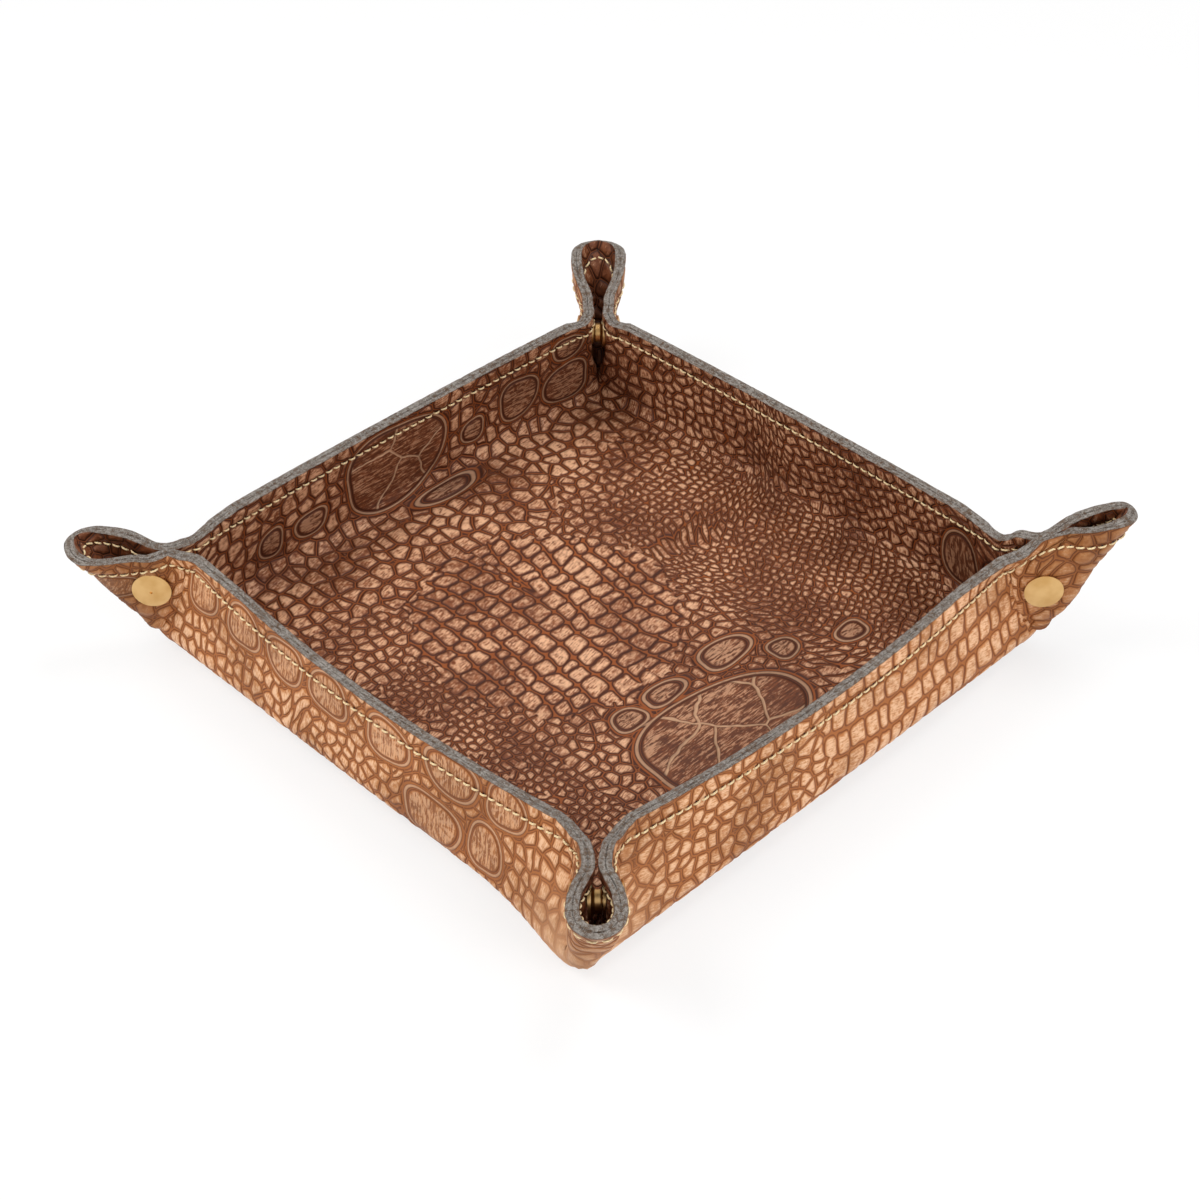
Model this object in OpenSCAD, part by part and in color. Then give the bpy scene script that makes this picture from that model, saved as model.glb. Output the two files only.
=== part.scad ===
// Square leather desk tray. Two leathers are sewn back to back round their edge, and the four
// corners are pinched into loops by snap fasteners. The underside's centre is the origin,
// +Z is up and the sides run along X and Y. Lengths are millimetres.

/* [Leather] */
// From the tray's centre to the corner of the floor fold
floor_half = 98.5; // [88:0.5:115]
// Thickness of each of the two leathers
leather_t = 2; // [1.6:0.1:2.2]
// Height of the leather at the corner loops, measured flat
corner_h = 43.5; // [42:0.5:45]
// How much lower than a loop a wall is where it starts to bend, measured flat
end_drop = 3.5; // [2.5:0.5:4.5]
// How much lower again a wall is at the middle of a side, measured flat
middle_drop = 3; // [1:0.5:5]
// Radius that the leather's cut corner is rounded to
cut_corner_r = 13; // [10:0.5:14]

/* [Folds] */
// Radius of the fold between floor and wall at the corners
fold_r_corner = 6; // [5:0.5:7]
// Radius of the fold between floor and wall at the middle of a side
fold_r_middle = 9; // [7:0.5:11]
// How far a side bows outward at its middle
side_bow = 1.1; // [0:0.1:3]
// How far the rim is drawn in along the side, at each end
rim_gather = 7.3; // [6.5:0.1:8]
// Inward lean of the wall at the corners, in degrees
lean_corner = 12; // [11:0.5:13]
// Inward lean of the wall at the middle of a side, in degrees
lean_middle = 6; // [3:0.5:8]

/* [Corner loops] */
// Slope of the loop's fold line above the floor, in degrees
loop_slope = 61; // [58:1:64]
// Radius of the loop at its top, at the middle of the leather
loop_r = 6.5; // [5.5:0.1:7]
// Radius of the loop near the floor
loop_r_low = 2.7; // [2.5:0.1:3.2]
// Half the space between the middles of the two sides where the rim is pinched
pinch_half = 2.5; // [2.5:0.05:2.8]
// How softly a wall runs into a loop at the rim
bend_soft = 3; // [2.5:0.1:3.2]

/* [Seam] */
// Distance of the seam from the cut edge
seam_inset = 5.5; // [4.5:0.1:6.5]
// Width of the flattened thread
thread_w = 0.8; // [0.6:0.1:1]
// Height that the thread stands above the leather
thread_h = 0.3; // [0.2:0.05:0.35]

/* [Snap fasteners] */
// Diameter of a cap
cap_d = 12.5; // [11:0.1:13]
// Height of a cap at its middle
cap_h = 1.7; // [1.4:0.1:2.2]
// Height of the step round a cap's rolled edge
cap_rim_h = 0.7; // [0.5:0.1:0.9]
// Diameter of the post behind a cap
post_d = 3.4; // [3:0.1:3.8]
// Distance of a snap's axis from the wall's end, measured flat
snap_out = 7.2; // [7:0.1:8]
// Height of a snap's axis above the floor fold, as a share of the height of the loops
snap_up_share = 0.602; // [0.58:0.002:0.63]
// Half the space between the middles of the two sides at the snap
snap_half = 4.6; // [4.4:0.1:5]
// Diameter of the socket
socket_d = 10.5; // [9.5:0.1:11]
// Diameter of the socket's mouth
socket_bore_d = 5; // [4.9:0.1:5.4]
// Diameter of the stud's flange
stud_flange_d = 8.5; // [7.5:0.1:9.5]
// Thickness of the stud's flange
stud_flange_t = 0.8; // [0.6:0.1:1]
// Diameter of the stud's nub
stud_d = 4; // [3.6:0.1:4.1]
// Length of the stud's nub
stud_l = 2.6; // [2.2:0.1:2.8]

/* [Hidden] */
corner_names = ["front", "right", "back", "left"];

// Clearance between the thread and the leather that it lies on
thread_clear = 0.15;
// Gap round each ear, and at the ends of the thread on it
ear_gap = 0.35;
thread_gap = 0.5;
// Clearance between a post and its hole, and between the stud's flange and the socket
post_clear = 0.05;
snap_clear = 0.3;
// Diameter of a post's tip, and of the ring that it is rolled over into, with its thickness
tip_d = 2.2;
roll_d = 3.4;
roll_t = 0.4;
// Thickness of the socket's floor, and how far a stud cap's tip reaches into the stud
socket_floor = 1;
tip_reach = 1.6;
// Radius of the edges of the socket and of the stud's nub
edge_r = 0.5;
// Diameter of the dimple in a stud cap, and its depth
dimple_d = 0.9;
dimple_depth = 0.5;

// Columns of the mesh across a wall, as shares of the way to the bend beside the corner
wall_col_share = [0, 0.25, 0.5, 0.72, 0.88, 1];
// Rays from the floor corner through the bend, each as distance past the wall's end per height
bend_ray_share = [-0.2, -0.13, -0.055, 0.02];
// Rays across the loop: distance from the fold line per distance along it
loop_ray_share = [0.78, 0.62, 0.48, 0.36, 0.25, 0.16, 0.08, 0];
// Rings of the floor, as shares of the way to the fold, and rows of the wall below the ear
floor_ring_share = [0.85, 0.91, 0.96, 1];
wall_row_share = [0, 0.1, 0.2, 0.363];
// Rows of the wall between the ear's foot and the seam, and then the seam and the rim
upper_row_share = [0, 0.26, 0.52, 0.78, 1];
// Where the loop starts to open, is fully open, and closes again, as shares
loop_open_share = [0.15, 1];
pinch_share = 0.62;
// The flat seat under a snap and the width over which it fades, as shares of the cap
seat_share = 0.72;
seat_fade_share = 0.48;
// Where the loop's shape takes over from the floor corner's, as shares of the corner height
foot_share = [0.02, 0.22];
// How much sooner than the wall's full height the bend into the loop reaches its full softness
bend_quick = 1.5;
// How far the ear's foot drops towards the fold line, so that it swings clear
foot_drop_share = 0.03;

n_wall = len(wall_col_share) - 1;
n_bend = len(bend_ray_share) - 1;
n_loop = len(loop_ray_share);
n_half = n_wall + n_bend + n_loop;
ear_col = n_wall + n_bend;
n_floor = len(floor_ring_share);
n_low = len(wall_row_share) - 1;
n_up = len(upper_row_share) - 1;
n_rows = n_low + n_up + 1;
seam_row = n_rows - 1;
ear_row = n_low;

function mix(a, b, t) = a + (b - a) * t;
function ease(t) = let (u = min(1, max(0, t))) u * u * (3 - 2 * u);
function degrees(x) = x * 180 / PI;

// 1 at the middle of a side and 0 at its ends
function middleness(q) = 1 - pow(min(1, abs(q) / floor_half), 2);

// Height of a wall, measured flat, at a place along the side
end_h = corner_h - end_drop;
middle_h = end_h - middle_drop;
side_end = floor_half + bend_ray_share[0] * end_h;
function wall_h(q) = mix(end_h, middle_h, 1 - pow(min(1, abs(q) / side_end), 2));

// Section through the fold and the wall: how far out and up a place lies that is d past the fold
function section(d, q) =
    let (
        m = middleness(q),
        r = mix(fold_r_corner, fold_r_middle, m),
        turn = 90 + mix(lean_corner, lean_middle, m),
        half_arc = r * turn * PI / 360,
        k = floor_half + side_bow * m,
        u = degrees((d - k + half_arc) / r),
        along = d - k - half_arc
    )
    u < 0 ? [d, 0]
    : u < turn ? [k - half_arc + r * sin(u), r * (1 - cos(u))]
    : [k - half_arc + r * sin(turn) + along * cos(turn), r * (1 - cos(turn)) + along * sin(turn)];

// How far a place is drawn in along the side, more steeply near the floor
function gather(p, q) =
    let (up = max(0, p - floor_half))
    rim_gather * 2 * up / (corner_h + up) * pow(min(1, q / floor_half), 3);

// The middle of the sheet away from the loops, where p is measured across the side
function tray_point(p, q) =
    let (a = section(p, min(q, floor_half)), b = section(q, min(p, floor_half)))
    [a[0], b[0] - gather(p, q), leather_t + a[1] + b[1]];

// The wall carried straight on past its end
function wall_point(p, q) =
    let (a = section(p, min(q, floor_half)))
    [a[0], q - gather(p, q), leather_t + a[1]];

// Direction of the loop's fold line, the direction square to it, and the side's own direction
fold_dir = [cos(loop_slope) / sqrt(2), cos(loop_slope) / sqrt(2), sin(loop_slope)];
fold_up = [-sin(loop_slope) / sqrt(2), -sin(loop_slope) / sqrt(2), cos(loop_slope)];
fold_side = [1, -1, 0] / sqrt(2);
floor_corner = [floor_half, floor_half, leather_t];

// A snap's place along the fold line and across it, measured flat
snap_up = snap_up_share * corner_h;
snap_along = (snap_up + snap_out) / sqrt(2);
snap_across = (snap_up - snap_out) / sqrt(2);

function loop_radius(a) = mix(loop_r_low, loop_r,
    ease((a / corner_h - loop_open_share[0]) / (loop_open_share[1] - loop_open_share[0])));
function loop_rise(a, c) =
    let (r = loop_radius(a))
    c < r * PI / 2 ? r * (1 - cos(degrees(c / r))) : r + c - r * PI / 2;
function loop_half(a, c) =
    let (
        r = loop_radius(a),
        apex = r * PI / 2,
        shut = max(pinch_share * a, apex + loop_r_low),
        open = c < apex ? r * sin(degrees(c / r)) : mix(r, pinch_half, ease((c - apex) / (shut - apex))),
        away = norm([a - snap_along, c - snap_across]),
        seat = 1 - ease((away / cap_d - seat_share) / seat_fade_share)
    )
    c == 0 ? 0 : mix(open, snap_half, seat);

// The middle of the sheet in the loop: s above the floor fold and e past the wall's end
function loop_point(s, e) =
    let (a = (s + e) / sqrt(2), c = max(0, (s - e) / sqrt(2)))
    floor_corner + a * fold_dir + loop_rise(a, c) * fold_up + loop_half(a, c) * fold_side;

// Any place of the sheet's middle. Wall and loop meet in a fillet on the outer side
function sheet_point(s, e) =
    let (
        tray = tray_point(floor_half + s, floor_half + e),
        wall = wall_point(floor_half + s, floor_half + e),
        loop = loop_point(s, e),
        soft = bend_soft * ease(bend_quick * s / corner_h),
        w = s <= 0 ? 0 : min(1, max(0, (1 + (loop[0] - wall[0]) / soft) / 2)),
        up = ((s + e) / sqrt(2) / corner_h - foot_share[0]) / (foot_share[1] - foot_share[0])
    )
    s <= 0 || up <= 0 ? tray : mix(tray, mix(wall, loop, w) + [soft * w * (1 - w), 0, 0], ease(up));

// How far up a ray the sheet reaches, a given distance inside its cut edge
function ray_reach(m, inset) =
    let (g = corner_h - cut_corner_r, r = cut_corner_r - inset, k = 1 + m * m)
    m * (corner_h - inset) <= g ? corner_h - inset
    : (g * (1 + m) + sqrt(pow(g * (1 + m), 2) - k * (2 * g * g - r * r))) / k;

// Height of a row, from the height of the ear's foot, the seam and the rim in that column
function row_height(i, foot, seam, rim) =
    i <= ear_row ? foot * wall_row_share[i] / wall_row_share[ear_row]
    : i <= seam_row ? mix(foot, seam, upper_row_share[i - ear_row])
    : rim;

// The flat place [s, e] of a point of the mesh: column j from the middle of a side to the fold
// line, row i from the floor fold up to the rim, and rings of the floor below that
function flat_place(i, j) =
    let (foot_s = corner_h * wall_row_share[ear_row])
    i < 0 ?
        let (p = floor_half * floor_ring_share[n_floor - 1 + i])
        [p - floor_half, wall_col_share[j] * p - floor_half]
    : j <= n_wall ?
        let (
            foot = end_h * wall_row_share[ear_row],
            reach = floor_half + bend_ray_share[0] * row_height(i, foot, end_h - seam_inset, end_h),
            q = wall_col_share[j] * reach,
            h = wall_h(q),
            s = row_height(i, h * wall_row_share[ear_row], h - seam_inset, h)
        )
        [s, q - floor_half]
    : let (
            g = j < ear_col ? 0 : j == ear_col ? 0 : loop_ray_share[j - ear_col - 1],
            m = j <= ear_col ? bend_ray_share[j - n_wall] : (1 - g) / (1 + g),
            last = bend_ray_share[n_bend],
            drop = foot_drop_share * (m - last) / (1 - last),
            foot = j <= ear_col ? foot_s : foot_s * (1 + last) / (1 + m) * (1 - drop),
            rise = (corner_h - end_h) * max(0, ear_col - j) / n_bend,
            s = row_height(i, foot, ray_reach(m, seam_inset) - rise, ray_reach(m, 0) - rise)
        )
        [s, m * s];

// The sheet at flat place f pushed out by d along its own normal, on the +X side for y above zero
function face_point(f, on_fold, d) =
    let (
        step = leather_t / 100,
        s = f[0],
        e = f[1],
        m = sheet_point(s, e),
        ds = on_fold ? sheet_point(s + step, e + step) - sheet_point(s - step, e - step)
            : sheet_point(s + step, e) - sheet_point(s - step, e),
        de = on_fold ?
            let (a = sheet_point(s + step, e - step) - m) [a[0] - a[1], a[1] - a[0], 0]
            : sheet_point(s, e + step) - sheet_point(s, e - step),
        n = on_fold ? cross(de, ds) : cross(ds, de)
    )
    m - d * n / norm(n);

// The mesh point of row i and column j; an ear's own points stand back from its cut edges
function half_point(i, j, d, gap = 0) =
    let (
        f = flat_place(i, j),
        up = gap == 0 || i != ear_row ? f : f * (1 + gap / norm(f)),
        g = gap == 0 || j == ear_col ? [0, gap] : j == n_half ? [gap, -gap] / sqrt(2) : [0, 0]
    )
    face_point(up + g, gap == 0 && (j == n_half || (i <= 0 && j == n_wall)), d);

function turned(p, side) =
    side == 0 ? p
    : side == 1 ? [-p[1], p[0], p[2]]
    : side == 2 ? [-p[0], -p[1], p[2]]
    : [p[1], -p[0], p[2]];

// Column j runs from -n_half to n_half along one side
function mesh_point(side, i, j, d, gap = 0) =
    let (p = half_point(i, abs(j), d, gap))
    turned(j < 0 ? [p[0], -p[1], p[2]] : p, side);

// Points of one face of the sheet: rings of the floor, rows of the wall and the floor's centre
ring_n = 8 * n_wall;
row_n = 8 * n_half;
face_n = n_floor * ring_n + n_rows * row_n + 1;
centre = face_n - 1;
first_ring = 1 - n_floor;

function face_points(d) = concat(
    [for (i = [first_ring : 0], side = [0 : 3], j = [-n_wall : n_wall - 1]) mesh_point(side, i, j, d)],
    [for (i = [1 : n_rows], side = [0 : 3], j = [-n_half : n_half - 1]) mesh_point(side, i, j, d)],
    [[0, 0, leather_t - d]]
);

// Number of a point among those of the whole face
function at(i, side, j) =
    i <= 0 ? (i - first_ring) * ring_n
        + (side * 2 * n_wall + max(-n_wall, min(n_wall, j)) + n_wall) % ring_n
    : n_floor * ring_n + (i - 1) * row_n + (side * 2 * n_half + j + n_half) % row_n;

// Number of a point among those of one ear
ear_n = n_loop + 1;
function ear_at(i, j) = (i - ear_row) * ear_n + j + n_half;

// Two triangles of a cell, seen from inside the tray, and the same cell seen from outside
function cell(a, b, c, d, mirrored) = mirrored ? [[a, b, d], [b, c, d]] : [[a, b, c], [a, c, d]];
function back(tris, shift) = [for (t = tris) [t[2] + shift, t[1] + shift, t[0] + shift]];
function whole(tris) = [for (t = tris) if (t[0] != t[1] && t[1] != t[2] && t[2] != t[0]) t];

// Two triangles of the sheet's edge from point a to point b; swap picks the other diagonal
function edge(a, b, n, swap) =
    swap ? [[b, a, a + n], [b, a + n, b + n]] : [[b, a, b + n], [a, a + n, b + n]];

function in_ear(i, j) = i >= ear_row && j < -ear_col;

root_cells = whole([
    for (side = [0 : 3]) each concat(
        [for (j = [-n_wall : n_wall - 1]) [centre, at(first_ring, side, j + 1), at(first_ring, side, j)]],
        [for (i = [first_ring : -1], j = [-n_wall : n_wall - 1]) each
            cell(at(i, side, j), at(i, side, j + 1), at(i + 1, side, j + 1), at(i + 1, side, j), j < 0)],
        [for (i = [0 : n_rows - 1], j = [-n_half : n_half - 1]) if (!in_ear(i, j)) each
            cell(at(i, side, j), at(i, side, j + 1), at(i + 1, side, j + 1), at(i + 1, side, j), j < 0)]
    )
]);
root_edges = [
    for (side = [0 : 3]) each concat(
        [for (j = [-ear_col : n_half - 1]) each
            edge(at(n_rows, side, j + 1), at(n_rows, side, j), face_n, false)],
        [for (j = [-n_half : -ear_col - 1]) each
            edge(at(ear_row, side, j + 1), at(ear_row, side, j), face_n, true)],
        [for (i = [ear_row : n_rows - 1]) each
            edge(at(i + 1, side, -ear_col), at(i, side, -ear_col), face_n, true)],
        [for (i = [ear_row : n_rows - 1]) each
            edge(at(i, side, -n_half), at(i + 1, side, -n_half), face_n, false)]
    )
];

ear_points_n = (n_rows - ear_row + 1) * ear_n;
ear_cells = [
    for (i = [ear_row : n_rows - 1], j = [-n_half : -ear_col - 1]) each
        cell(ear_at(i, j), ear_at(i, j + 1), ear_at(i + 1, j + 1), ear_at(i + 1, j), true)
];
ear_edges = concat(
    [for (j = [-n_half : -ear_col - 1]) each
        edge(ear_at(n_rows, j + 1), ear_at(n_rows, j), ear_points_n, false)],
    [for (j = [-n_half : -ear_col - 1]) each
        edge(ear_at(ear_row, j), ear_at(ear_row, j + 1), ear_points_n, false)],
    [for (i = [ear_row : n_rows - 1]) each
        edge(ear_at(i, -ear_col), ear_at(i + 1, -ear_col), ear_points_n, false)],
    [for (i = [ear_row : n_rows - 1]) each
        edge(ear_at(i + 1, -n_half), ear_at(i, -n_half), ear_points_n, true)]
);

// One leather without its ears, between two distances out from the middle of the sheet
module sheet(inner, outer) {
    polyhedron(
        points = concat(face_points(inner), face_points(outer)),
        faces = concat(root_cells, back(root_cells, face_n), root_edges)
    );
}

// The ear of one leather that a stud is set in
module ear_sheet(side, inner, outer) {
    polyhedron(
        points = [for (d = [inner, outer], i = [ear_row : n_rows], j = [-n_half : -ear_col])
            mesh_point(side, i, j, d, ear_gap)],
        faces = concat(ear_cells, back(ear_cells, ear_points_n), ear_edges)
    );
}

// Places a piece on a snap's axis, +Z pointing out of the loop: out is 1 on the socket's side
// and -1 on the stud's side
snap_centre = floor_corner + snap_along * fold_dir + loop_rise(snap_along, snap_across) * fold_up;
module on_snap(side, out) {
    rotate([0, 0, 90 * (side - 1)]) translate(snap_centre) rotate([0, 0, 45])
        rotate([90 * out, 0, 0]) children();
}

module post_hole(side, out) {
    on_snap(side, out) cylinder(d = post_d + 2 * post_clear, h = snap_half + 2 * leather_t, $fn = 48);
}

module outer_leather() {
    color([0.72, 0.49, 0.30]) difference() {
        sheet(0, leather_t);
        for (side = [0 : 3]) post_hole(side, 1);
    }
}

module inner_leather() {
    color([0.55, 0.33, 0.18]) difference() {
        sheet(-leather_t, 0);
        for (side = [0 : 3]) post_hole(side, 1);
    }
}

module outer_ear(side) {
    color([0.72, 0.49, 0.30]) difference() {
        ear_sheet(side, 0, leather_t);
        post_hole(side, -1);
    }
}

module inner_ear(side) {
    color([0.55, 0.33, 0.18]) difference() {
        ear_sheet(side, -leather_t, 0);
        post_hole(side, -1);
    }
}

// Corners of the thread's section at point k of the seam, d out from the middle of the sheet
function seam_point(k, d) = let (m = (k + row_n) % row_n)
    mesh_point(floor(m / (2 * n_half)), seam_row, m % (2 * n_half) - n_half, d);
function thread_ring(k, low, high, pull) =
    let (
        along = seam_point(k + 1, low) - seam_point(k - 1, low),
        a = seam_point(k, low) + pull * along / norm(along),
        b = seam_point(k, high) + pull * along / norm(along),
        across = cross(b - a, along),
        w = thread_w / 2 * across / norm(across)
    )
    [a - w, a + w, b + w, b - w];

// Thread over the seam's points from first to last, with each end pulled in by the gap
module thread(first, last, low, high) {
    n = last - first;
    polyhedron(
        points = [for (k = [first : last]) each
            thread_ring(k, low, high, thread_gap * (k == first ? 1 : k == last ? -1 : 0))],
        faces = concat(
            [[0, 1, 2], [0, 2, 3]],
            [for (i = [0 : n - 1], c = [0 : 3]) each
                let (a = 4 * i + c, b = 4 * i + (c + 1) % 4) [[a, a + 4, b], [b, a + 4, b + 4]]],
            [[4 * n + 2, 4 * n + 1, 4 * n], [4 * n + 3, 4 * n + 2, 4 * n]]
        )
    );
}

thread_low = leather_t + thread_clear;
thread_high = thread_low + thread_h;
module root_thread(low, high) {
    color([0.87, 0.76, 0.52])
        for (side = [0 : 3]) thread(side * 2 * n_half + n_loop, (side + 1) * 2 * n_half, low, high);
}
module ear_thread(side, low, high) {
    color([0.87, 0.76, 0.52]) thread(side * 2 * n_half, side * 2 * n_half + n_loop, low, high);
}

// Flattened dome with a rolled edge, on a post that goes through both leathers
module cap() {
    dome_h = cap_h - cap_rim_h;
    dome_r = (pow(cap_d / 2, 2) + pow(dome_h, 2)) / (2 * dome_h);
    reach = asin(cap_d / 2 / dome_r);
    color([0.80, 0.66, 0.42]) translate([0, 0, snap_half + leather_t]) {
        rotate_extrude($fn = 64) polygon(concat(
            [[0, 0], [cap_d / 2 - cap_rim_h / 2, 0]],
            [for (a = [-90 : 30 : 0])
                [cap_d / 2 - cap_rim_h / 2 * (1 - cos(a)), cap_rim_h / 2 * (1 + sin(a))]],
            [for (t = [1 : -0.25 : 0]) dome_r * [sin(t * reach), cos(t * reach)]
                + [0, cap_h - dome_r]]
        ));
        translate([0, 0, -2 * leather_t]) cylinder(d = post_d, h = 2 * leather_t, $fn = 48);
    }
}

module stud_cap(side) {
    on_snap(side, -1) {
        difference() {
            cap();
            translate([0, 0, snap_half + leather_t + cap_h - dimple_depth])
                cylinder(d = dimple_d, h = cap_h, $fn = 24);
        }
        color([0.80, 0.66, 0.42]) translate([0, 0, snap_half - leather_t - tip_reach])
            cylinder(d = tip_d, h = tip_reach, $fn = 32);
    }
}

module socket_cap(side) {
    seat = snap_half - leather_t;
    on_snap(side, 1) {
        cap();
        color([0.80, 0.66, 0.42]) {
            translate([0, 0, seat - socket_floor]) cylinder(d = tip_d, h = socket_floor, $fn = 32);
            translate([0, 0, seat - socket_floor - roll_t]) cylinder(d = roll_d, h = roll_t, $fn = 32);
        }
    }
}

module stud(side) {
    seat = snap_half - leather_t;
    on_snap(side, -1) color([0.78, 0.72, 0.58]) difference() {
        union() {
            translate([0, 0, seat - stud_flange_t])
                cylinder(d = stud_flange_d, h = stud_flange_t, $fn = 48);
            translate([0, 0, seat - stud_flange_t]) rotate([180, 0, 0])
                rotate_extrude($fn = 48) polygon(concat(
                    [[0, 0], [stud_d / 2 - edge_r / 2, 0], [stud_d / 2 - edge_r / 2, edge_r]],
                    [[stud_d / 2, 2 * edge_r]],
                    [for (a = [0 : 30 : 90])
                        [stud_d / 2 - edge_r * (1 - cos(a)), stud_l - edge_r * (1 - sin(a))]],
                    [[0, stud_l]]
                ));
        }
        translate([0, 0, seat - tip_reach - post_clear])
            cylinder(d = tip_d + 2 * post_clear, h = tip_reach + stud_flange_t, $fn = 32);
    }
}

module socket(side) {
    seat = snap_half - leather_t;
    socket_h = 2 * seat - stud_flange_t - snap_clear;
    on_snap(side, 1) color([0.78, 0.72, 0.58]) translate([0, 0, seat]) rotate([180, 0, 0])
        rotate_extrude($fn = 64) polygon(concat(
            [[tip_d / 2 + post_clear, 0], [socket_d / 2, 0], [socket_d / 2, socket_floor]],
            [[socket_bore_d / 2 + 2 * edge_r, 2 * socket_floor]],
            [for (a = [0 : 30 : 90])
                [socket_bore_d / 2 + edge_r * (1 + cos(a)), socket_h - edge_r * (1 - sin(a))]],
            [[socket_bore_d / 2, socket_h], [socket_bore_d / 2, socket_floor]],
            [[tip_d / 2 + post_clear, socket_floor]]
        ));
}

outer_leather();
inner_leather();
root_thread(-thread_low, -thread_high);  // needle_thread
root_thread(thread_low, thread_high);  // bobbin_thread
for (side = [0 : 3]) {
    outer_ear(side);
    inner_ear(side);
    ear_thread(side, -thread_low, -thread_high);
    ear_thread(side, thread_low, thread_high);
    stud_cap(side);
    stud(side);
    socket_cap(side);
    socket(side);
}
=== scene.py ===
"""Leather valet tray: two embossed leathers sewn back to back, pinched into four corner loops.

The tray stands on its underside's centre, with +Z up and its sides along X and Y. The front corner
lies between +X and -Y. Shapes are worked out in millimetres and stored in metres.
"""
import math

import bmesh
import bpy
import numpy as np
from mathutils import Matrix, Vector


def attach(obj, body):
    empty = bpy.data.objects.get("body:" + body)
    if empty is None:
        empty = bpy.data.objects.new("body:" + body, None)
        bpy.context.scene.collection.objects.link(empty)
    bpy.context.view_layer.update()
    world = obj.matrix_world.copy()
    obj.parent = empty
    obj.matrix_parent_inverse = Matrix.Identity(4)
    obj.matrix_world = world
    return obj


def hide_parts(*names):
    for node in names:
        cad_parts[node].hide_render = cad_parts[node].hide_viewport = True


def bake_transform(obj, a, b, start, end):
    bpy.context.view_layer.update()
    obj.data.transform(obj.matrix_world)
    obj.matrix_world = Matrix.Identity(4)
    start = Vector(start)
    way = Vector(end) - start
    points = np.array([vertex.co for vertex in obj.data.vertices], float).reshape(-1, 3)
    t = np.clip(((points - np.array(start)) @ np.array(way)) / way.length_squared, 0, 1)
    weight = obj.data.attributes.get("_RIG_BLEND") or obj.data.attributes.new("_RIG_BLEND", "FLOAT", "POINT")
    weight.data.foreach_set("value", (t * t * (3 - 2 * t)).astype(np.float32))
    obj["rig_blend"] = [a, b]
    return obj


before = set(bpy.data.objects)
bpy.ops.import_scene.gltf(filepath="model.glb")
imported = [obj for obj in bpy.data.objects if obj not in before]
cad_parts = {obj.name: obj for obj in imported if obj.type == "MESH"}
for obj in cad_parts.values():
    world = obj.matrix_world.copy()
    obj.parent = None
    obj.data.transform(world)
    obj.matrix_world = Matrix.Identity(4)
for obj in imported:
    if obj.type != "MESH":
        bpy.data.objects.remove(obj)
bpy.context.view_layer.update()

# The view. The camera stands over the front corner, and the fit to the photograph's caps, rim,
# tips and base gives its place. The origin lies a little below the middle of the picture.
camera_azimuth, camera_elevation = math.radians(45.1), math.radians(40.6)
camera_distance = 0.7785
focal_pixels, frame_pixels = 2385, 1200
origin_pixel = (597.7, 643.4)

toward_camera = Vector((
    math.sin(camera_azimuth) * math.cos(camera_elevation),
    -math.cos(camera_azimuth) * math.cos(camera_elevation),
    math.sin(camera_elevation)))
camera = bpy.data.objects.new("camera", bpy.data.cameras.new("camera"))
camera.data.sensor_width = 36
camera.data.lens = 36 * focal_pixels / frame_pixels
camera.data.shift_x = (frame_pixels / 2 - origin_pixel[0]) / frame_pixels
camera.data.shift_y = (origin_pixel[1] - frame_pixels / 2) / frame_pixels
camera.data.clip_start, camera.data.clip_end = 0.05, 50
camera.location = toward_camera * camera_distance
camera.rotation_euler = (-toward_camera).to_track_quat("-Z", "Y").to_euler()
bpy.context.scene.collection.objects.link(camera)
bpy.context.scene.camera = camera
bpy.context.scene.view_settings.view_transform = "Standard"


# The studio. Three large soft lamps and a pale room light the tray. The floor and the room are
# white where the camera sees them, and the floor keeps the tray's shadow.
def lamp(name, place, size, power, colour):
    light = bpy.data.lights.new(name, "AREA")
    light.shape, light.size, light.energy, light.color = "SQUARE", size, power, colour
    made = bpy.data.objects.new(name, light)
    made.location = place
    made.rotation_euler = (-Vector(place)).to_track_quat("-Z", "Y").to_euler()
    bpy.context.scene.collection.objects.link(made)


lamp("key_lamp", (-0.55, -0.75, 1.05), 0.7, 9.6, (1.0, 0.98, 0.95))
lamp("right_lamp", (1.1, -0.1, 0.75), 0.7, 6, (0.97, 0.98, 1.0))
lamp("top_lamp", (0.1, 0.5, 1.2), 0.6, 5, (1.0, 1.0, 1.0))


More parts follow.
